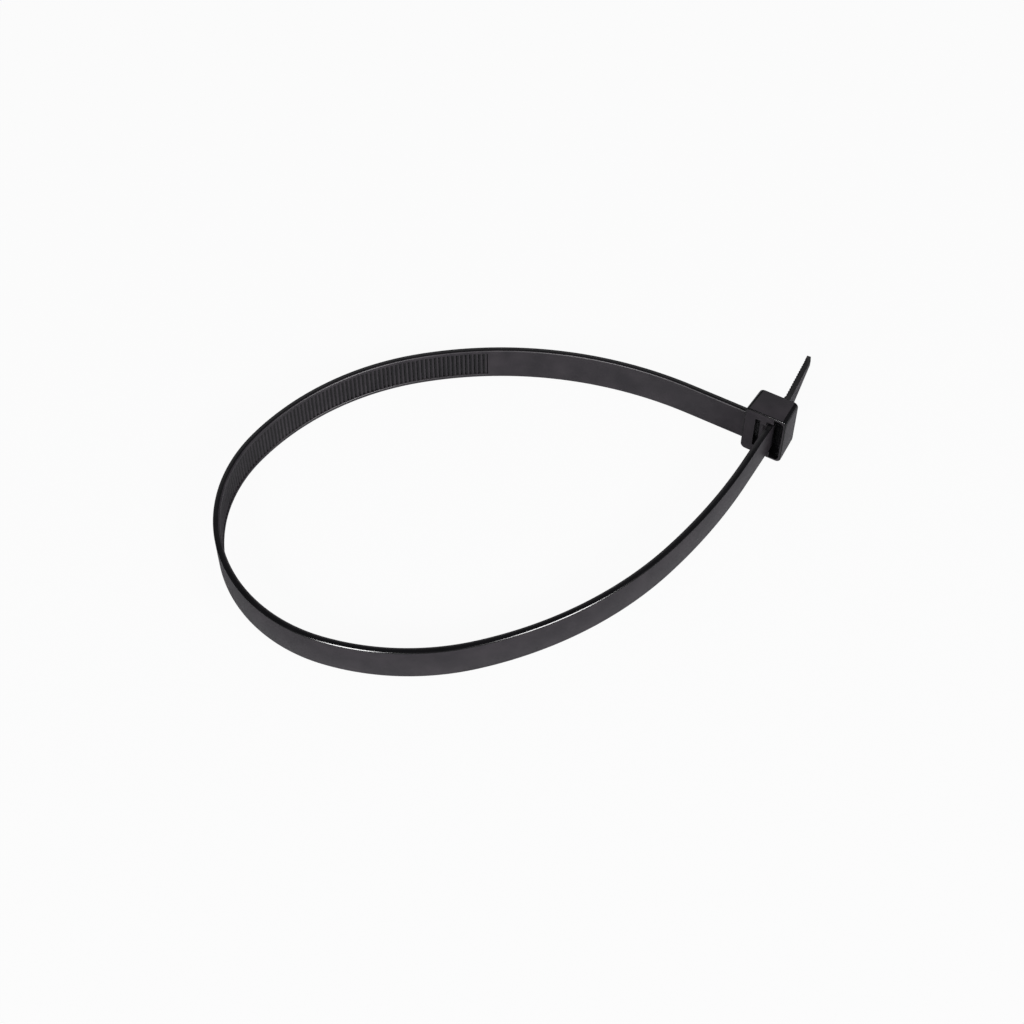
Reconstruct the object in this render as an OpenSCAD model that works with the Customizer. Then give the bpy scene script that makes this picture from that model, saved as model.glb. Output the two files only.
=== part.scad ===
/* [Strap] */
// Width of the strap across its flat
strap_w = 7.5; // [6.8:0.1:8]
// Thickness of the strap over its side rails
strap_t = 1.3; // [1.15:0.05:1.5]
// Bevel along the strap's four long edges
edge_c = 0.12; // [0.08:0.02:0.3]
// Smooth length of strap between the head and the first tooth
plain_l = 55.6; // [40:0.2:80]

/* [Rack] */
// Length of one tooth along the strap
tooth_pitch = 0.92; // [0.8:0.02:1.3]
// Height of a tooth above the floor of the channel
tooth_h = 0.27; // [0.2:0.01:0.32]
// Share of the pitch that the steep side of a tooth takes
tooth_steep = 0.2; // [0.1:0.05:0.4]
// Width of the smooth rail on each side of the teeth
rail_w = 0.75; // [0.6:0.05:1]
// Depth of the toothed channel below the rails
channel_d = 0.38; // [0.34:0.02:0.46]

/* [Loop] */
// Straight run where the strap leaves the head
root_run = 12.5; // [8:0.25:18]
// Radius of the bend between the long upper stretch and the far end
crown_r = 52.4; // [44:0.1:60]
// Turn of that bend in degrees
crown_turn = 43; // [36:0.5:48]
// Radius of the loop's far end
nose_r = 32.8; // [28:0.1:38]
// Turn of the far end in degrees
nose_turn = 105; // [98:0.5:110]
// Radius of the bend between the far end and the long lower stretch
jaw_r = 48.4; // [40:0.1:56]
// Turn of that bend in degrees
jaw_turn = 34; // [28:0.5:40]
// Turn of the long lower stretch in degrees
belly_turn = 32; // [28:0.5:36]
// Radius of the slack bend ahead of the head
throat_r = 125; // [105:1:150]
// Turn of that slack bend in degrees
throat_turn = 12.5; // [9:0.5:15]
// Straight run just ahead of the head
feed_run = 10.4; // [7:0.1:15]

/* [Head] */
// Head width, across the strap
head_w = 11.7; // [11.4:0.1:13]
// Head length at its entry face, along the strap's root
head_l = 8.85; // [8.65:0.05:9.6]
// Head depth, the way the tail is pushed through
head_d = 6.4; // [5.8:0.1:7]
// Draft of the head's four sides in degrees
head_draft = 2; // [1:0.5:4]
// Rounding of the head's four corners at the entry face
corner_r = 1.2; // [0.8:0.1:1.4]
// Rounding of the rims of the entry and exit faces
rim_r = 0.25; // [0.2:0.05:0.35]
// How far the strap's toothed side lies below the entry face
root_step = 0.7; // [0.3:0.05:1]

/* [Slot and pawl] */
// Wall between the strap's root and the slit
root_wall = 2.4; // [2.2:0.05:2.6]
// Slit behind the pawl
slit_w = 1.1; // [0.8:0.05:1.2]
// Length of that slit across the strap
slit_l = 7.6; // [6.6:0.1:8.2]
// Thickness of the pawl from its back to the tips of its teeth
pawl_t = 1.4; // [1.3:0.05:1.5]
// Length of the pawl from the entry face
pawl_l = 4.7; // [4:0.1:5]
// Thickness of the hinge that carries the pawl
hinge_t = 0.6; // [0.4:0.05:0.8]
// Depth of the hinge below the entry face
hinge_n = 1.4; // [1.2:0.1:1.7]
// Gap beside the pawl and between its teeth and the rack
mesh_gap = 0.1; // [0.06:0.01:0.15]
// Gap between the strap and the slot's outer wall
back_gap = 0.15; // [0.1:0.05:0.3]
// Gap between the strap's edges and the slot's ends
side_gap = 0.35; // [0.2:0.05:0.5]
// Depth of the lead-in that guides the tail into the slot
lead_d = 1.6; // [1.2:0.1:2]
// Depth of the lead-in along its outer rim
lead_rim_d = 0.6; // [0.3:0.1:0.9]
// Rim left between the lead-in and the head's sides
lead_land = 0.5; // [0.45:0.05:0.8]

/* [Tail] */
// Length of tail that stands out of the head
tail_l = 18.2; // [12:0.1:28]
// Radius of the bend at the head's exit, where the tail springs back
exit_r = 30; // [24:1:45]
// Turn of that bend in degrees
exit_turn = 6.5; // [4:0.5:11]
// Length of that bend that lies inside the head
exit_in = 1.6; // [1:0.1:2]
// Length of the tail's taper that lies inside the head
taper_in = 1.4; // [0.8:0.1:1.6]
// Width of the tail at its rounded tip
tip_w = 0.8; // [0.6:0.1:1.6]
// Plain length at the tip, past the last tooth
tip_plain = 1.5; // [1:0.1:3]

/* [Placing] */
// Turn of the head seen from above, in degrees
head_turn = -30.5; // [-45:0.5:-15]

/* [Hidden] */
$fn = 360;

black_nylon = [0.16, 0.16, 0.17];
past = 1;

channel_w = strap_w - 2 * rail_w;
floor_d = strap_t - channel_d;
tip_d = floor_d + tooth_h;

// The head lies on u, away from the strap's root, and n, the way the tail goes through.
root_embed = root_wall / 2;
pawl_u = root_wall + slit_w;
mesh_u = pawl_u + pawl_t;
seat_u = mesh_u + mesh_gap - strap_t + tip_d;
back_u = seat_u + strap_t;
slot_far_u = back_u + back_gap;
slot_w = strap_w + 2 * side_gap;
pawl_w = channel_w - 4 * mesh_gap;
chamber_w = pawl_w + 2 * mesh_gap;
lead_u = head_l - lead_land;
lead_w = head_w - 2 * lead_land;
lead_corner_r = corner_r - rim_r;

// The path follows the smooth back of the strap, from the root round the loop and out of the slot.
// A piece is a straight [length, 0, 0] or an arc to the left [0, radius, turn].
start = [root_embed, root_step + strap_t, 180, 0];
brow_turn = 270 - crown_turn - nose_turn - jaw_turn - belly_turn - throat_turn;
crown_h = 180 + brow_turn;
nose_h = crown_h + crown_turn;
jaw_h = nose_h + nose_turn;
belly_h = jaw_h + jaw_turn;
throat_h = belly_h + belly_turn;
feed_h = throat_h + throat_turn;

function run_of(l, h) = l * [cos(h), sin(h)];
function arc_of(r, h, turn) = r * [sin(h + turn) - sin(h), cos(h) - cos(h + turn)];
function cross2(a, b) = a[0] * b[1] - a[1] * b[0];

// The radii of the two long stretches are the pair that brings the strap back to the slot.
to_slot = [back_u, 0] - [start[0], start[1]]
    - run_of(root_run + root_embed, 180) - arc_of(crown_r, crown_h, crown_turn)
    - arc_of(nose_r, nose_h, nose_turn) - arc_of(jaw_r, jaw_h, jaw_turn)
    - arc_of(throat_r, throat_h, throat_turn) - run_of(feed_run, feed_h);
brow_unit = arc_of(1, 180, brow_turn);
belly_unit = arc_of(1, belly_h, belly_turn);
brow_r = cross2(to_slot, belly_unit) / cross2(brow_unit, belly_unit);
belly_r = cross2(brow_unit, to_slot) / cross2(brow_unit, belly_unit);

pieces = [
    [root_run + root_embed, 0, 0],
    [0, brow_r, brow_turn],
    [0, crown_r, crown_turn],
    [0, nose_r, nose_turn],
    [0, jaw_r, jaw_turn],
    [0, belly_r, belly_turn],
    [0, throat_r, throat_turn],
    [feed_run + head_d - exit_in, 0, 0],
    [0, exit_r, exit_turn],
    [tail_l + exit_in - exit_r * exit_turn * PI / 180, 0, 0]
];

function piece_len(g) = g[1] == 0 ? g[0] : g[1] * g[2] * PI / 180;
function piece_end(p, g) =
    let (d = g[1] == 0 ? run_of(g[0], p[2]) : arc_of(g[1], p[2], g[2]))
    [p[0] + d[0], p[1] + d[1], p[2] + g[2], p[3] + piece_len(g)];
function walk(p, i) = i == len(pieces) ? [p] : concat([p], walk(piece_end(p, pieces[i]), i + 1));
stations = walk(start, 0);
total_l = stations[len(pieces)][3];

// A point at length s along the back of the strap and depth d in from it.
function piece_at(s, i) = i == len(pieces) - 1 || s < stations[i + 1][3] ? i : piece_at(s, i + 1);
function along(s, d) =
    let (i = piece_at(s, 0), p = stations[i], g = pieces[i], l = s - p[3])
    let (turn = g[1] == 0 ? 0 : l / g[1] * 180 / PI, h = p[2] + turn)
    let (m = g[1] == 0 ? run_of(l, p[2]) : arc_of(g[1], p[2], turn))
    [p[0] + m[0] - d * sin(h), p[1] + m[1] + d * cos(h)];

// The rack: each tooth rises steeply on the side that faces the root.
rack_s = root_embed + plain_l;
tooth_count = floor((total_l - tip_plain - rack_s) / tooth_pitch);
rack_end_s = rack_s + tooth_count * tooth_pitch;
cut_top_d = strap_t + past;
cut_step = 2;
function tooth_points() = [
    for (k = [0 : tooth_count - 1], j = [0, 1])
        along(rack_s + (k + j * tooth_steep) * tooth_pitch, j == 0 ? floor_d : tip_d)
];
function cut_top_points() =
    let (n = ceil((rack_end_s - rack_s) / cut_step))
    [for (i = [n : -1 : 0]) along(rack_s + (rack_end_s - rack_s) * i / n, cut_top_d)];

// The same teeth as the pawl meets them, as heights n above the entry face.
slot_s = total_l - tail_l - head_d;
first_mesh_k = ceil((slot_s + hinge_n + hinge_t - rack_s) / tooth_pitch);
last_mesh_k = floor((slot_s + pawl_l - rack_s) / tooth_pitch) - 1;
function rack_n(k) = rack_s + k * tooth_pitch - slot_s;

module section() {
    polygon([
        [edge_c, -strap_w / 2], [strap_t - edge_c, -strap_w / 2],
        [strap_t, -strap_w / 2 + edge_c], [strap_t, strap_w / 2 - edge_c],
        [strap_t - edge_c, strap_w / 2], [edge_c, strap_w / 2],
        [0, strap_w / 2 - edge_c], [0, -strap_w / 2 + edge_c]
    ]);
}

// A place is reached in two moves, a coarse and a fine one, so that it keeps all its digits.
module placed(p) {
    coarse = [for (v = p) round(v * 1000) / 1000];
    translate(coarse)
        translate(p - coarse)
            children();
}

module strap_piece(p, g) {
    if (g[1] == 0) {
        placed([p[0], p[1], 0])
            rotate([0, 0, p[2] - 90])
                translate([-strap_t, g[0], 0])
                    rotate([90, 0, 0])
                        linear_extrude(g[0])
                            section();
    } else {
        placed([p[0] - g[1] * sin(p[2]), p[1] + g[1] * cos(p[2]), 0])
            rotate_extrude(angle = g[2], start = p[2] - 90)
                placed([g[1] - strap_t, 0])
                    section();
    }
}

module rack_cut() {
    translate([0, 0, -channel_w / 2])
        linear_extrude(channel_w)
            polygon(concat(
                tooth_points(),
                [along(rack_end_s, floor_d)],
                cut_top_points()
            ));
}

// The outline that the tail is trimmed to, as n along the first axis and the width along the second.
taper_n = head_d - taper_in;
tip_n = stations[len(pieces)][1];
tip_u = stations[len(pieces)][0];

module tail_outline() {
    tip_r = tip_w / 2;
    polygon(concat(
        [[taper_n - past, -strap_w / 2 - past], [taper_n, -strap_w / 2 - past]],
        [[taper_n, -strap_w / 2]],
        [for (a = [-90 : 15 : 90]) [tip_n - tip_r + tip_r * cos(a), tip_r * sin(a)]],
        [[taper_n, strap_w / 2]],
        [[taper_n, strap_w / 2 + past], [taper_n - past, strap_w / 2 + past]]
    ));
}

module tail_trim() {
    translate([tip_u - 2 * strap_t, 0, 0])
        rotate([0, 90, 0])
            rotate([0, 0, 90])
                linear_extrude(back_u - tip_u + 3 * strap_t)
                    difference() {
                        translate([taper_n, -strap_w])
                            square([tip_n - taper_n + past, 2 * strap_w]);
                        tail_outline();
                    }
}

// The strap is toothed in two lengths, which meet past the far end.
module toothed(from, to) {
    difference() {
        union() {
            for (i = [from : to]) strap_piece(stations[i], pieces[i]);
        }
        rack_cut();
        tail_trim();
    }
}

module strap() {
    toothed(0, 3);
    toothed(4, len(pieces) - 1);
}

function rim_inset(n) = rim_r - sqrt(rim_r * rim_r - (rim_r - n) * (rim_r - n));
function head_inset(n) = n * tan(head_draft)
    + (n < rim_r ? rim_inset(n) : n > head_d - rim_r ? rim_inset(head_d - n) : 0);
rim_levels = [for (a = [0 : 22.5 : 90]) rim_r * (1 - cos(a))];
head_levels = concat(rim_levels, [for (i = [len(rim_levels) - 1 : -1 : 0]) head_d - rim_levels[i]]);
corner_u = head_l / 2 - corner_r;
corner_z = head_w / 2 - corner_r;

// One side of the head from its middle outwards, drafted, with both rims rounded.
function side_points(half) = [for (n = head_levels) [half + corner_r - head_inset(n), n]];
function mirrored(points) = [for (i = [len(points) - 1 : -1 : 0]) [-points[i][0], points[i][1]]];

module head_corner() {
    rotate_extrude(angle = 90)
        polygon(concat([[0, 0]], side_points(0), [[0, head_d]]));
}

module head_slab(half, length) {
    translate([0, 0, -length / 2])
        linear_extrude(length)
            polygon(concat(side_points(half), mirrored(side_points(half))));
}

module head_shell() {
    translate([head_l / 2, 0, 0]) {
        head_slab(corner_u, 2 * corner_z);
        rotate([0, 90, 0])
            head_slab(corner_z, 2 * corner_u);
        for (quarter = [0 : 3]) {
            su = quarter == 0 || quarter == 3 ? 1 : -1;
            sz = quarter < 2 ? 1 : -1;
            translate([su * corner_u, 0, sz * corner_z])
                rotate([-90, 0, 0])
                    rotate([0, 0, -90 * (quarter + 1)])
                        head_corner();
        }
    }
}

module slot_cut() {
    translate([seat_u - mesh_gap, -past, -slot_w / 2])
        cube([slot_far_u - seat_u + mesh_gap, head_d + 2 * past, slot_w]);
    translate([root_wall, -past, -chamber_w / 2])
        cube([seat_u - root_wall, head_d + 2 * past, chamber_w]);
    translate([root_wall, -past, -slit_l / 2])
        cube([slit_w, head_d + 2 * past, slit_l]);
    lead_in();
}

// The lead-in is a pocket with rounded corners, whose floor slopes down to the slot.
module lead_in() {
    lead_from_u = slot_far_u - back_gap / 2;
    intersection() {
        translate([0, 0, -lead_w / 2])
            linear_extrude(lead_w)
                polygon([
                    [lead_from_u, -past], [lead_u, -past],
                    [lead_u, lead_rim_d], [lead_from_u, lead_d]
                ]);
        translate([0, 2 * lead_d, 0])
            rotate([90, 0, 0])
                linear_extrude(2 * lead_d + 2 * past)
                    lead_outline(lead_from_u - past);
    }
}

module lead_outline(from_u) {
    round_u = lead_u - lead_corner_r;
    round_z = lead_w / 2 - lead_corner_r;
    translate([from_u, -lead_w / 2])
        square([round_u - from_u, lead_w]);
    translate([from_u, -round_z])
        square([lead_u - from_u, 2 * round_z]);
    for (side = [-1, 1])
        translate([round_u, side * round_z])
            circle(lead_corner_r);
}

module pawl() {
    translate([0, 0, -pawl_w / 2])
        linear_extrude(pawl_w)
            polygon(concat(
                [[pawl_u, rim_r / 4], [pawl_u + pawl_t / 2, 0], [seat_u - mesh_gap, hinge_n / 2]],
                [for (k = [first_mesh_k : last_mesh_k], j = [0, 1])
                    [back_u - (j == 0 ? floor_d : tip_d) - mesh_gap, rack_n(k + j * tooth_steep)]],
                [[mesh_u - tooth_h, pawl_l], [pawl_u + slit_w / 2, pawl_l], [pawl_u, pawl_l / 2]]
            ));
    translate([root_wall - hinge_t, hinge_n, -pawl_w / 2])
        cube([slit_w + 2 * hinge_t, hinge_t, pawl_w]);
}

module head() {
    difference() {
        head_shell();
        slot_cut();
    }
    pawl();
}

// The part is set down on the head's widest point, with its box centred over the origin.
function turned(p) = [
    p[0] * cos(head_turn) - p[1] * sin(head_turn),
    p[0] * sin(head_turn) + p[1] * cos(head_turn)
];
outline = [for (i = [0 : 1200], d = [0, strap_t]) turned(along(total_l * i / 1200, d))];
box_x = [min([for (p = outline) p[0]]), max([for (p = outline) p[0]])];
box_y = [min([for (p = outline) p[1]]), max([for (p = outline) p[1]])];
widest_z = head_w / 2 - min([for (n = head_levels) head_inset(n)]);

module cable_tie() {
    color(black_nylon)
        translate([-(box_x[0] + box_x[1]) / 2, -(box_y[0] + box_y[1]) / 2, widest_z])
            rotate([0, 0, head_turn]) {
                strap();
                head();
            }
}

cable_tie();
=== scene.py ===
import math

import bmesh
import bpy
from mathutils import Matrix, Vector


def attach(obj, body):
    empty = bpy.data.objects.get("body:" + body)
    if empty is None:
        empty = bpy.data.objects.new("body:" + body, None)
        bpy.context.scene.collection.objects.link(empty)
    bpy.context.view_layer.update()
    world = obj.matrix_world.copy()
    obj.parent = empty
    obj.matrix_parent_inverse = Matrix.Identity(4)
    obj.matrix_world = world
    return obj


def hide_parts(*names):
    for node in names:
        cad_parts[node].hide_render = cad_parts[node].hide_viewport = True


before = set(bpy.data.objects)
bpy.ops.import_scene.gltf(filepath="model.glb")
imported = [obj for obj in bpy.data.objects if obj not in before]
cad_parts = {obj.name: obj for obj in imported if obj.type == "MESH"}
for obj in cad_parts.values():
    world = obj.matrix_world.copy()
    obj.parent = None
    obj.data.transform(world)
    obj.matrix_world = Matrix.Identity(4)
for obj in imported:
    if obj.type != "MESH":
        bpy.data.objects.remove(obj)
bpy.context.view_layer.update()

# The camera: a short telephoto view from the front, half way up, down onto the loop.
# It looks along +Y and is tipped down, so the loop's width lies across the picture.
camera_tilt = math.radians(51.12)
camera_place = (-0.0027, -0.21965, 0.27455)
camera_focus_px = 1800
image_px = 1024
sensor_mm = 36
nearest_seen = 0.01
farthest_seen = 20

bpy.ops.object.camera_add(location=camera_place, rotation=(math.pi / 2 - camera_tilt, 0, 0))
camera = bpy.context.object
camera.name = "photo_camera"
camera.data.sensor_width = sensor_mm
camera.data.lens = sensor_mm * camera_focus_px / image_px
camera.data.clip_start = nearest_seen
camera.data.clip_end = farthest_seen
bpy.context.scene.camera = camera

# The strap: moulded black nylon, 7.5 mm wide, smooth on its back and toothed on its inner side.
# It is made straight, one pitch at a time, and then bent round the bundle's path.
# It lies along X with its back at y = 0, and its width is along Z.
strap_w = 7.5e-3
strap_t = 1.3e-3
edge_r = 0.26e-3
edge_steps = 3
rail_w = 0.75e-3
rail_edge = 0.07e-3
channel_d = 0.38e-3
channel_z = strap_w / 2 - rail_w
floor_y = strap_t - channel_d

# A tooth rises from the channel's floor to its crest, and falls over a knee back to the floor.
# Crest and knee are given as shares of the pitch and of the tooth's height.
tooth_pitch = 0.92e-3
tooth_h = 0.27e-3
tooth_line = ((0.2, 1), (0.6, 0.5))
tooth_count = 267

# The smooth stretch is cut into slices about as long as a tooth, so that it bends as evenly.
smooth_l = 56.8e-3
smooth_slices = 62
rack_end = smooth_l + tooth_count * tooth_pitch
total_l = 304.114e-3

# Nylon 66, dyed black and moulded, is a deep black that is never quite even.
# Its faint clouds are 4.5 mm across. The real grain is finer than the 0.17 mm drawn here, and
# wouldn't show.
nylon_ior = 1.53
clouds_per_m = 220.0
cloud_range = (0.35, 0.68)
grains_per_m = 6000.0
grain_strength = 0.25
grain_depth = 2e-5


def linear(hex_colour):
    """An sRGB hex colour as linear RGBA."""
    parts = [int(hex_colour[i:i + 2], 16) / 255 for i in (1, 3, 5)]
    return tuple(c / 12.92 if c <= 0.04045 else ((c + 0.055) / 1.055) ** 2.4 for c in parts) + (1,)


def node(owner, kind, settings=None, links=None):
    """Adds a node to a material or the world, sets its values and links its inputs."""
    made = owner.node_tree.nodes.new(kind)
    for key, value in (settings or {}).items():
        if isinstance(key, str) and hasattr(made, key):
            setattr(made, key, value)
        else:
            made.inputs[key].default_value = value
    for key, source in (links or {}).items():
        owner.node_tree.links.new(source, made.inputs[key])
    return made


def black_nylon(name, low_tone, high_tone, low_rough, high_rough):
    """The nylon in one finish, with the two ends of its tone and of its roughness."""
    nylon = bpy.data.materials.new(name)
    nylon.use_nodes = True
    nylon.node_tree.nodes.clear()
    place = node(nylon, "ShaderNodeTexCoord").outputs["Object"]
    cloud = node(nylon, "ShaderNodeTexNoise", {"Scale": clouds_per_m, "Detail": 3.0}, {"Vector": place})
    grain = node(nylon, "ShaderNodeTexNoise", {"Scale": grains_per_m, "Detail": 2.0}, {"Vector": place})
    tone = node(nylon, "ShaderNodeValToRGB", links={"Fac": cloud.outputs["Fac"]})
    for stop, position, colour in zip(tone.color_ramp.elements, cloud_range, (low_tone, high_tone)):
        stop.position = position
        stop.color = linear(colour)
    rough = node(
        nylon, "ShaderNodeMapRange", {"To Min": low_rough, "To Max": high_rough},
        {"Value": cloud.outputs["Fac"]})
    skin = node(
        nylon, "ShaderNodeBump", {"Strength": grain_strength, "Distance": grain_depth},
        {"Height": grain.outputs["Fac"]})
    shader = node(
        nylon, "ShaderNodeBsdfPrincipled", {"IOR": nylon_ior},
        {"Base Color": tone.outputs["Color"], "Roughness": rough.outputs["Result"],
         "Normal": skin.outputs["Normal"]})
    node(nylon, "ShaderNodeOutputMaterial", links={"Surface": shader.outputs["BSDF"]})
    return nylon


# The mould leaves the flats satin, which gives the eye a soft grey sheen. It leaves the edges,
# rims and pockets smooth, with sharp highlights. The smooth finish's deeper black is painted shade:
# on the strap's sides, in the head's slot and pockets, on the pawl inside the head, and at the
# steep sides and feet of the teeth.
satin_nylon = black_nylon("satin_black_nylon", "#221f23", "#2e2a2e", 0.36, 0.44)
smooth_nylon_and_painted_shade = black_nylon("smooth_black_nylon_and_painted_shade", "#080809", "#0e0d0f", 0.15, 0.21)

# Two places are the same if they are closer than near, and a direction is along an axis if its
# part on that axis is more than along.
near = 1e-6
along = 0.9


def start_fresh():
    """Leaves edit mode with nothing selected."""
    if bpy.context.object and bpy.context.object.mode == "EDIT":
        bpy.ops.object.mode_set(mode="OBJECT")
    bpy.ops.object.select_all(action="DESELECT")


def select_only(*pieces):
    """Selects these pieces and nothing else, and makes the first one active."""
    start_fresh()
    for piece in pieces:
        piece.select_set(True)
    bpy.context.view_layer.objects.active = pieces[0]


def block(low, high):
    """A cube primitive between two corners."""
    start_fresh()
    low, high = Vector(low), Vector(high)
    bpy.ops.mesh.primitive_cube_add(size=1, location=(low + high) / 2)
    made = bpy.context.object
    made.scale = high - low
    bpy.ops.object.transform_apply(location=True, rotation=True, scale=True)
    return made


def edit():
    """Enters edit mode on the active object with nothing selected."""
    bpy.ops.object.mode_set(mode="EDIT")
    bpy.ops.mesh.select_mode(type="VERT")
    bpy.ops.mesh.select_all(action="DESELECT")


def pick(test, kind="VERT"):
    """Selects the vertices, edges or faces that pass the test, and only those.

    The test gets a vertex's place, an edge's middle and direction, or a face's middle and normal.
    """
    bpy.ops.mesh.select_mode(type=kind)
    bpy.ops.mesh.select_all(action="DESELECT")
    mesh = bmesh.from_edit_mesh(bpy.context.object.data)
    for item in getattr(mesh, kind.lower() + "s"):
        if kind == "VERT":
            item.select = test(item.co)
        elif kind == "EDGE":
            a, b = (v.co for v in item.verts)
            item.select = test((a + b) / 2, (b - a).normalized())
        else:
            item.select = test(item.calc_center_median(), item.normal)
    mesh.select_flush_mode()
    bmesh.update_edit_mesh(bpy.context.object.data)


def cut_picked(place, normal):
    """Cuts what is selected with a plane."""
    bpy.ops.mesh.bisect(plane_co=place, plane_no=normal, threshold=near / 10)


def apply_modifiers():
    """Applies the active object's modifiers in their order."""
    for modifier in list(bpy.context.object.modifiers):
        bpy.ops.object.modifier_apply(modifier=modifier.name)


def strap_slice(name, length, channelled):
    """One short length of strap, open at both ends."""
    piece = block((0, 0, -strap_w / 2), (length, strap_t, strap_w / 2))
    piece.name = name
    edit()
    pick(lambda c, d: abs(d.x) > along, "EDGE")
    bpy.ops.mesh.bevel(offset=edge_r, segments=edge_steps, affect="EDGES")
    rail_lines = (channel_z, channel_z + rail_edge) if channelled else (channel_z + rail_edge,)
    for z in rail_lines:
        for side in (-1, 1):
            pick(lambda c, n: n.y > along, "FACE")
            cut_picked((0, 0, side * z), (0, 0, 1))
    pick(lambda c, n: abs(n.x) > along, "FACE")
    bpy.ops.mesh.delete(type="FACE")
    if channelled:
        pick(lambda c, n: n.y > along and abs(c.z) < channel_z, "FACE")
        bpy.ops.mesh.extrude_region_move(TRANSFORM_OT_translate={"value": (0, -channel_d, 0)})
        pick(lambda c, n: abs(n.x) > along, "FACE")
        bpy.ops.mesh.delete(type="FACE")
        pick(lambda c: abs(abs(c.z) - channel_z) < near and abs(c.y - strap_t) < near)
        bpy.ops.transform.translate(value=(0, -rail_edge, 0))
        for x, rise in tooth_line:
            pick(lambda c, n: n.y > along and abs(c.z) < channel_z and c.y < floor_y + tooth_h, "FACE")
            cut_picked((x * tooth_pitch, 0, 0), (1, 0, 0))
        for x, rise in tooth_line:
            pick(lambda c: abs(c.x - x * tooth_pitch) < near and abs(c.y - floor_y) < near)
            bpy.ops.transform.translate(value=(0, rise * tooth_h, 0))
    bpy.ops.object.mode_set(mode="OBJECT")
    return piece


def repeat(count, step):
    """Repeats the active slice along the strap, and merges the copies into one mesh."""
    array = bpy.context.object.modifiers.new("repeat", "ARRAY")
    array.count = count
    array.use_relative_offset = False
    array.use_constant_offset = True
    array.constant_offset_displace = (step, 0, 0)
    array.use_merge_vertices = True
    array.merge_threshold = near
    apply_modifiers()


def shift_mesh(x):
    """Moves the active slice's mesh along the strap."""
    edit()
    bpy.ops.mesh.select_all(action="SELECT")
    bpy.ops.transform.translate(value=(x, 0, 0))
    bpy.ops.object.mode_set(mode="OBJECT")


smooth = strap_slice("smooth_stretch", smooth_l / smooth_slices, False)
repeat(smooth_slices, smooth_l / smooth_slices)
rack = strap_slice("rack", tooth_pitch, True)
repeat(tooth_count, tooth_pitch)
shift_mesh(smooth_l)
tip = strap_slice("tip", total_l - rack_end, False)
shift_mesh(rack_end)
select_only(smooth, rack, tip)
bpy.ops.object.join()
strap = bpy.context.object
strap.name = "strap"

# The three lengths are merged, the strap's ends are closed, and its faces are turned outwards.
edit()
bpy.ops.mesh.select_all(action="SELECT")
bpy.ops.mesh.remove_doubles(threshold=near)
bpy.ops.mesh.select_all(action="SELECT")
bpy.ops.mesh.fill_holes(sides=0)
bpy.ops.mesh.select_all(action="SELECT")
bpy.ops.mesh.normals_make_consistent(inside=False)
bpy.ops.object.mode_set(mode="OBJECT")

# The tail: the last of the strap tapers from inside the head to a slim tip with a rounded end.
# A flat blank with the tail's outline is laid over the strap, and what lies outside it is cut off.
# The tip's back is then sloped in two steps.
tail_l = 18.2e-3
taper_in = 1.4e-3
taper_x = total_l - tail_l - taper_in
tip_w = 0.8e-3
tip_r = 0.98 * tip_w / 2
tip_corner_steps = 8
tip_cut = 0.35e-3
tip_cut_starts = (1, 0.3)
blank_w = 1.5 * strap_w
blank_t = 3e-3
blank_clear = 1e-3


def grow_edge(far_x, half_width):
    """Extrudes the blank's last edge to far_x, and sets its width there."""
    mesh = bmesh.from_edit_mesh(bpy.context.object.data)
    last_x = max(v.co.x for v in mesh.verts)
    last_z = max(v.co.z for v in mesh.verts if abs(v.co.x - last_x) < near)
    pick(lambda c, d: abs(c.x - last_x) < near and abs(d.z) > along, "EDGE")
    bpy.ops.mesh.extrude_region_move(TRANSFORM_OT_translate={"value": (far_x - last_x, 0, 0)})
    bpy.ops.transform.resize(value=(1, 1, half_width / last_z), center_override=(far_x, 0, 0))


def combine(target, other, operation):
    """Cuts or joins the target with another solid, which is then removed."""
    select_only(target)
    boolean = target.modifiers.new(operation.lower(), "BOOLEAN")
    boolean.operation = operation
    boolean.object = other
    boolean.solver = "EXACT"
    apply_modifiers()
    bpy.data.objects.remove(other)


def finish(piece, smooth_or_painted_shade):
    """Gives the active piece its satin finish, the smooth one with its painted shade on the faces
    picked, and ties it to the part.
    """
    piece.data.materials.clear()
    piece.data.materials.append(satin_nylon)
    piece.data.materials.append(smooth_nylon_and_painted_shade)
    edit()
    pick(smooth_or_painted_shade, "FACE")
    piece.active_material_index = 1
    bpy.ops.object.material_slot_assign()
    bpy.ops.object.mode_set(mode="OBJECT")
    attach(piece, "root")
    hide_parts("cable_tie")


def strap_smooth_or_painted_shade(c, n):
    """The sides and the back's rounded edges, and each tooth's steep side and foot, where the dark
    finish on the sides and teeth is painted shade.
    """
    side = abs(n.z) > 0.2 and c.y < strap_t - edge_r
    tooth_side = n.x < -0.5
    tooth_foot = abs(n.z) < 0.1 and c.y < floor_y + tooth_h / 3
    return side or (c.y > floor_y and (tooth_side or tooth_foot))


start_fresh()
bpy.ops.mesh.primitive_plane_add(size=1, location=(0, -blank_clear, 0), rotation=(math.pi / 2, 0, 0))
blank = bpy.context.object
blank.scale = (2 * (taper_x - blank_clear), blank_w, 1)
bpy.ops.object.transform_apply(location=True, rotation=True, scale=True)
edit()
grow_edge(taper_x, strap_w / 2)
grow_edge(total_l - tip_w / 2, tip_w / 2)
grow_edge(total_l, tip_w / 2)
pick(lambda c: abs(c.x - total_l) < near)
bpy.ops.mesh.bevel(offset=tip_r, segments=tip_corner_steps, affect="VERTICES")
bpy.ops.mesh.select_all(action="SELECT")
bpy.ops.mesh.extrude_region_move(TRANSFORM_OT_translate={"value": (0, blank_t, 0)})
bpy.ops.mesh.select_all(action="SELECT")
bpy.ops.mesh.normals_make_consistent(inside=False)
combine(strap, blank, "INTERSECT")

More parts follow.
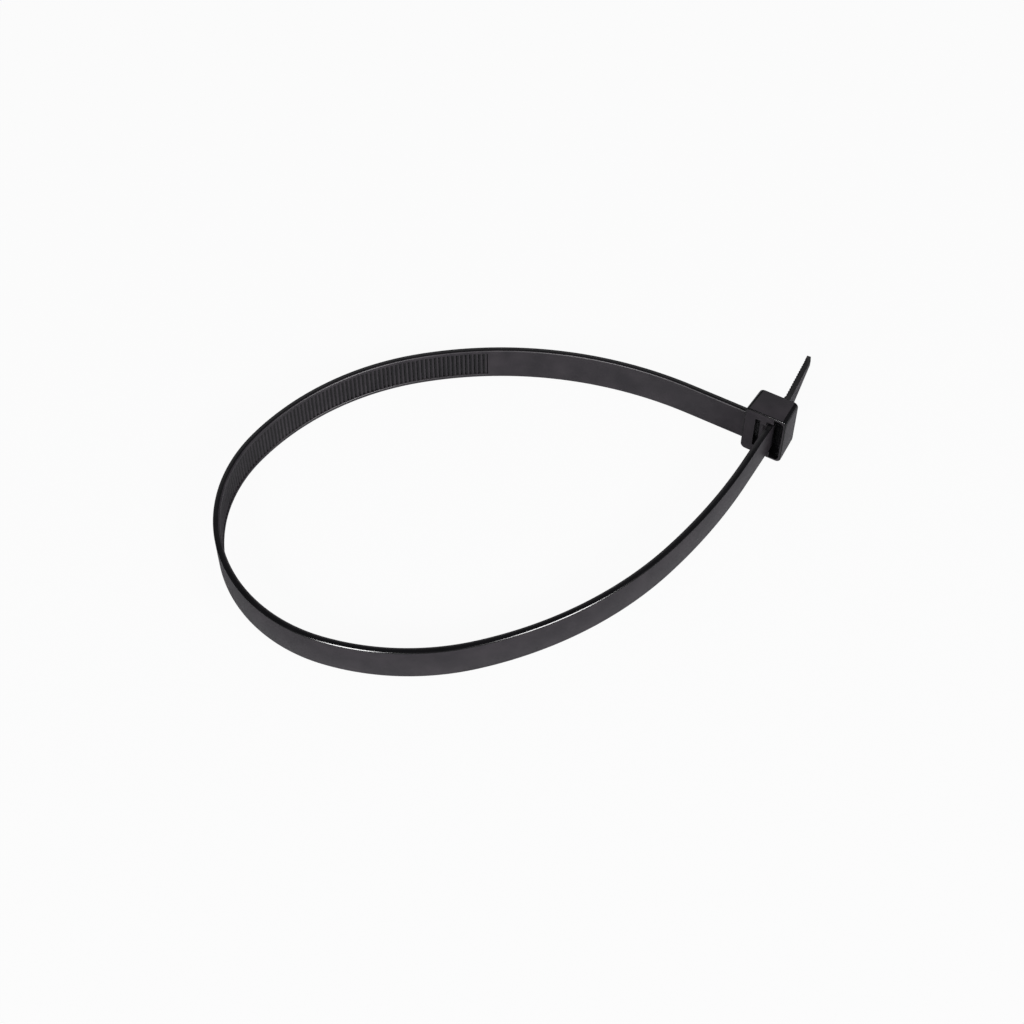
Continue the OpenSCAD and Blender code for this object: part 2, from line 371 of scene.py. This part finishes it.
# Past the last tooth the strap's face drops to the level of the teeth's crests.
edit()
pick(lambda c: c.x > rack_end - near and c.y > strap_t - near)
bpy.ops.transform.translate(value=(0, floor_y + tooth_h - strap_t, 0))
for share in tip_cut_starts:
    pick(lambda c: c.x > total_l - share * tip_w and c.y < strap_t / 2)
    bpy.ops.transform.translate(value=(0, tip_cut, 0))
bpy.ops.object.mode_set(mode="OBJECT")
finish(strap, strap_smooth_or_painted_shade)

# The loop: the strap leaves the head, goes round the bundle and comes back through the head.
# Its path follows the smooth back of the strap in straights and arcs that join without a kink.
# Each is a straight's length, or an arc's radius and its turn in degrees.
head_turn = math.radians(-30.5)
head_place = Vector((43.272e-3, 18.8037e-3, 5.84127e-3))
head_frame = Matrix.Translation(head_place) @ Matrix.Rotation(head_turn, 4, "Z")
root_embed = 1.2e-3
root_step = 0.7e-3
path_step = 0.5e-3
smooth_angle = math.radians(24)
loop = [
    (13.7e-3, 0, 0), (0, 75.8009e-3, 43.5), (0, 52.4e-3, 43), (0, 32.8e-3, 105), (0, 48.4e-3, 34),
    (0, 75.9845e-3, 32), (0, 125e-3, 12.5), (15.2e-3, 0, 0), (0, 30e-3, 6.5), (16.3966e-3, 0, 0),
]


def loop_points():
    """The path's points in the head's own frame, from the strap's root to its tip."""
    heading = math.pi
    place = Vector((root_embed, root_step + strap_t, 0))
    points = [place.copy()]
    for length, radius, turn in loop:
        turn = math.radians(turn)
        run = length or radius * turn
        steps = math.ceil(run / path_step)
        for i in range(steps):
            half = turn / steps / 2
            chord = run / steps if not turn else 2 * radius * math.sin(half)
            place += chord * Vector((math.cos(heading + half), math.sin(heading + half), 0))
            heading += 2 * half
            points.append(place.copy())
    return points


path_data = bpy.data.curves.new("loop_path", "CURVE")
path_data.dimensions = "3D"
path_data.twist_mode = "Z_UP"
path = bpy.data.objects.new("loop_path", path_data)
bpy.context.collection.objects.link(path)
points = loop_points()
spline = path_data.splines.new("POLY")
spline.points.add(len(points) - 1)
for point, place in zip(spline.points, points):
    point.co = (*(head_frame @ place), 1)
bend = strap.modifiers.new("bend", "CURVE")
bend.object = path
bend.deform_axis = "POS_X"
select_only(strap)
apply_modifiers()
bpy.data.objects.remove(path)
bpy.ops.object.shade_smooth_by_angle(angle=smooth_angle)

# The head: one moulding with the strap, a box with drafted sides, rounded corners and soft rims.
# The tail's slot runs through it from the wide lead-in on its entry face.
# Names in _u lie across it from the strap's root, and names in _n lie through it from the entry.
head_l = 8.85e-3
head_w = 11.7e-3
head_d = 6.4e-3
head_draft = math.radians(2)
shrink = head_d * math.tan(head_draft)
corner_r = 1.2e-3
corner_steps = 8
rim_r = 0.25e-3
rim_steps = 4
root_wall = 2.4e-3
slit_w = 1.1e-3
slit_l = 7.6e-3
back_u = 6.19e-3
seat_u = back_u - strap_t
mesh_gap = 0.1e-3
back_gap = 0.15e-3
side_gap = 0.35e-3
pawl_w = 5.6e-3
pawl_t = 1.4e-3
pawl_u = root_wall + slit_w
slot_far_u = back_u + back_gap
slot_w = strap_w + 2 * side_gap
chamber_w = pawl_w + 2 * mesh_gap
lead_d = 1.6e-3
lead_rim_d = 0.6e-3
lead_land = 0.5e-3
lead_corner_steps = 5
lead_from_u = slot_far_u - back_gap / 2
lead_u = head_l - lead_land
lead_z = head_w / 2 - lead_land
past = 1e-3
skin_d = 0.3e-3


def head_smooth_or_painted_shade(c, n):
    """The rounded corners and rims, and all that lies inside the head, where the dark finish is painted
    shade.
    """
    rounded = max(abs(n.x), abs(n.y), abs(n.z)) < 0.99
    inside = (
        skin_d / 4 < c.y < head_d - skin_d and skin_d < c.x < head_l - skin_d
        and abs(c.z) < head_w / 2 - skin_d)
    return rounded or inside


head = block((0, 0, -head_w / 2), (head_l, head_d, head_w / 2))
head.name = "head"
edit()
pick(lambda c: c.y > head_d - near)
bpy.ops.transform.resize(
    value=(1 - 2 * shrink / head_l, 1, 1 - 2 * shrink / head_w), center_override=(head_l / 2, head_d, 0))
pick(lambda c, d: abs(d.y) > along, "EDGE")
bpy.ops.mesh.bevel(offset=corner_r - shrink / 2, segments=corner_steps, affect="EDGES")
pick(lambda c, d: (c.y < near or c.y > head_d - near) and abs(d.y) < 0.1, "EDGE")
bpy.ops.mesh.bevel(offset=rim_r, segments=rim_steps, affect="EDGES")

# The slot, the pawl's chamber and the slit behind the pawl are cut right through.
for from_u, to_u, width in (
        (seat_u - mesh_gap, slot_far_u, slot_w), (root_wall, seat_u, chamber_w),
        (root_wall, pawl_u, slit_l)):
    cutter = block((from_u, -past, -width / 2), (to_u, head_d + past, width / 2))
    combine(head, cutter, "DIFFERENCE")

# The lead-in is deepest at the slot, and shallow at the head's outer wall.
lead_in = block((lead_from_u, -past, -lead_z), (lead_u, lead_d, lead_z))
edit()
pick(lambda c: c.y > lead_d - near and c.x > lead_u - near)
bpy.ops.transform.translate(value=(0, lead_rim_d - lead_d, 0))
pick(lambda c, d: abs(d.y) > along and c.x > lead_u - near, "EDGE")
bpy.ops.mesh.bevel(offset=corner_r - rim_r, segments=lead_corner_steps, affect="EDGES")
combine(head, lead_in, "DIFFERENCE")
finish(head, head_smooth_or_painted_shade)

# The pawl: a springy tongue in the head, carried by a thin hinge, that snaps into the teeth.
# Its own teeth face the strap, and a slit behind it lets it bend away as the tail goes in.
# It has two teeth, each given by its crest and, a fifth of a pitch on, its foot.
pawl_l = 4.7e-3
hinge_t = 0.6e-3
hinge_n = 1.4e-3
teeth_n = (2.686e-3, 2.87e-3, 3.606e-3, 3.79e-3)
tooth_u = back_u - floor_y - mesh_gap
gap_u = tooth_u - tooth_h

pawl = block((pawl_u, 0, -pawl_w / 2), (gap_u, pawl_l, pawl_w / 2))
pawl.name = "pawl"
edit()
for n in (hinge_n / 2, pawl_l / 2) + teeth_n:
    bpy.ops.mesh.select_all(action="SELECT")
    cut_picked((0, n, 0), (0, 1, 0))
for n in teeth_n[::2]:
    pick(lambda c: abs(c.y - n) < near and c.x > gap_u - near)
    bpy.ops.transform.translate(value=(tooth_h, 0, 0))

# The entry end slopes back so that the tail slides past it, and the free end is cut back
# on both sides.
pick(lambda c: c.y < near and c.x > gap_u - near)
bpy.ops.transform.translate(value=(pawl_u + pawl_t / 2 - gap_u, 0, 0))
pick(lambda c: c.y < near and c.x < pawl_u + near)
bpy.ops.transform.translate(value=(0, rim_r / 4, 0))
pick(lambda c: c.y > pawl_l - near and c.x > gap_u - near)
bpy.ops.transform.translate(value=(-tooth_h, 0, 0))
pick(lambda c: c.y > pawl_l - near and c.x < pawl_u + near)
bpy.ops.transform.translate(value=(slit_w / 2, 0, 0))
bpy.ops.object.mode_set(mode="OBJECT")
hinge = block(
    (root_wall - hinge_t, hinge_n, -pawl_w / 2), (pawl_u + hinge_t, hinge_n + hinge_t, pawl_w / 2))
combine(pawl, hinge, "UNION")
# The pawl's inner part takes the smooth finish, whose deeper black there is painted shade inside the
# head.
finish(pawl, lambda c, n: c.y > hinge_n / 2)

# The head and the pawl go from the head's own frame to their place on the loop.
for piece in (head, pawl):
    select_only(piece)
    piece.matrix_world = head_frame
    bpy.ops.object.transform_apply(location=True, rotation=True, scale=True)
    bpy.ops.object.shade_smooth_by_angle(angle=smooth_angle)

# The floor: a flat white sheet, 3 m wide, that takes the tie's shadow. It lights the tie as pale
# paper does, and the camera sees it nearly pure white.
floor_size = 3
floor_glow = 0.95

start_fresh()
bpy.ops.mesh.primitive_plane_add(size=floor_size, location=(0, 0, 0))
floor = bpy.context.object
floor.name = "floor"
white = bpy.data.materials.new("white_paper")
white.use_nodes = True
white.node_tree.nodes.clear()
paper = node(white, "ShaderNodeBsdfDiffuse", {"Color": linear("#a4a4a6")})
glow = node(white, "ShaderNodeEmission", {"Color": (1, 1, 1, 1), "Strength": 1.0})
floor_ray = node(white, "ShaderNodeLightPath")
glow_share = node(
    white, "ShaderNodeMath", {"operation": "MULTIPLY", 1: floor_glow},
    {0: floor_ray.outputs["Is Camera Ray"]})
sheet = node(
    white, "ShaderNodeMixShader",
    links={0: glow_share.outputs["Value"], 1: paper.outputs["BSDF"], 2: glow.outputs["Emission"]})
node(white, "ShaderNodeOutputMaterial", links={"Surface": sheet.outputs["Shader"]})
floor.data.materials.append(white)


# The light: a soft box on each side of the camera, and a wide dim panel behind that gives the far
# edges and the head's top a soft sheen. The room is dark to the nylon, and the camera sees it
# as white as the floor.
def soft_box(name, place, size, power):
    """A rectangular area light that faces the object."""
    start_fresh()
    bpy.ops.object.light_add(type="AREA", location=place)
    lamp = bpy.context.object
    lamp.name = name
    lamp.data.shape = "RECTANGLE"
    lamp.data.size, lamp.data.size_y = size
    lamp.data.energy = power
    lamp.rotation_euler = Vector(place).to_track_quat("Z", "Y").to_euler()


soft_box("key_light", (0.66, -0.66, 0.6), (0.4, 0.3), 11)
soft_box("fill_light", (-0.42, -0.8, 0.6), (0.3, 0.3), 10)
soft_box("back_light", (0, 0.95, 0.74), (1.4, 0.45), 0.8)

room = bpy.data.worlds.new("room")
bpy.context.scene.world = room
room.use_nodes = True
room.node_tree.nodes.clear()
dim = node(room, "ShaderNodeBackground", {"Color": linear("#48484c"), "Strength": 1.0})
bright = node(room, "ShaderNodeBackground", {"Color": linear("#fbfbfb"), "Strength": 1.0})
room_ray = node(room, "ShaderNodeLightPath")
room_mix = node(
    room, "ShaderNodeMixShader",
    links={0: room_ray.outputs["Is Camera Ray"], 1: dim.outputs["Background"],
           2: bright.outputs["Background"]})
node(room, "ShaderNodeOutputWorld", links={"Surface": room_mix.outputs["Shader"]})
bpy.context.scene.view_settings.view_transform = "Standard"
